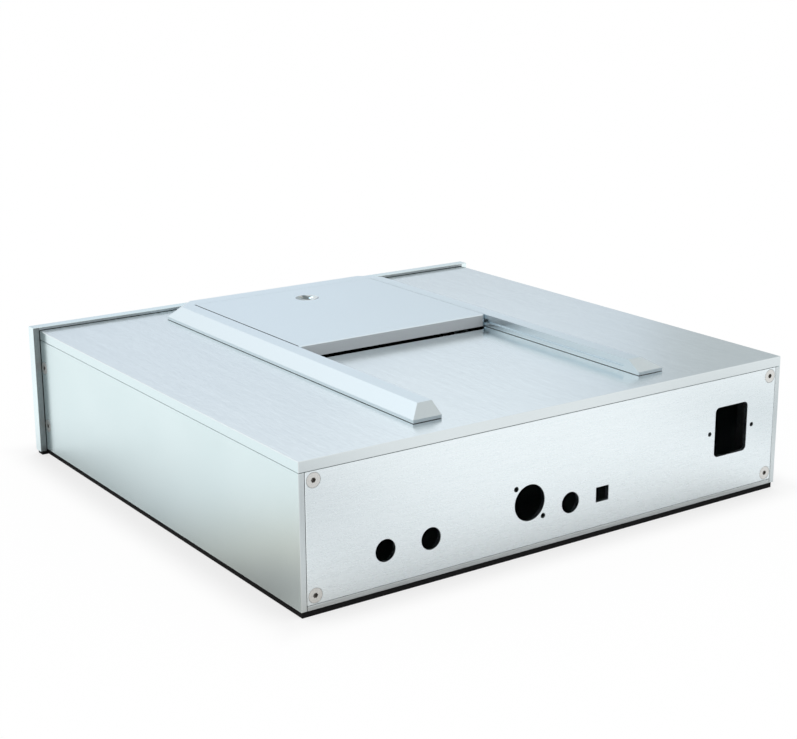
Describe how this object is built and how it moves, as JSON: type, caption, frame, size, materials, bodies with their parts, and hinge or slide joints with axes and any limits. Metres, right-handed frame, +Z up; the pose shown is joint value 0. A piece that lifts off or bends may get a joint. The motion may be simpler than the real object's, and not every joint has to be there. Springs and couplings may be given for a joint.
{
  "type": "turntable chassis",
  "caption": "Aluminium chassis for a top-loading disc player: plate box with a thick front panel, raised guide rails and a sliding lid over the disc bay.",
  "frame": {"origin": "bottom centre of the chassis, on the surface it stands on", "axes": "+Z up, the front panel faces -Y, the connector holes face +Y, +X is to the right for someone facing the front panel"},
  "size_m": [0.4, 0.3766, 0.1051],
  "materials": {
    "satin_aluminium": "satin anodised",
    "brushed_aluminium": "fine brushed and anodised",
    "bead_blasted_aluminium": "bead blasted and anodised",
    "mill_aluminium": "plain milled",
    "black_anodised_plate": "black anodised",
    "black_rubber": "matt",
    "steel_screws": "turned",
    "ground_steel": "ground"
  },
  "bodies": {
    "chassis": {"front_panel": "satin_aluminium", "right_side_panel": "satin_aluminium", "left_side_panel": "satin_aluminium", "top_plate": "brushed_aluminium", "rear_panel": "brushed_aluminium", "guide_frame": "bead_blasted_aluminium", "bottom_plate": "mill_aluminium", "front_right_post": "mill_aluminium", "front_left_post": "mill_aluminium", "rear_right_post": "mill_aluminium", "rear_left_post": "mill_aluminium", "transport_spacers": "mill_aluminium", "transport_plate": "black_anodised_plate", "base_mat": "black_rubber", "rear_panel_screws": "steel_screws", "side_panel_screws": "steel_screws", "front_panel_screws": "steel_screws", "side_panel_inner_screws": "steel_screws", "corner_tie_screws": "steel_screws", "guide_frame_screws": "steel_screws", "transport_plate_screws": "steel_screws"},
    "lid": {"lid": "bead_blasted_aluminium", "right_lid_runner": "ground_steel", "left_lid_runner": "ground_steel", "lid_runner_screws": "steel_screws"}
  },
  "joints": [
    {"name": "lid_slide", "type": "slide", "parent": "chassis", "child": "lid", "axis": [0, 1, 0], "range_m": [0, 0.154]}
  ]
}
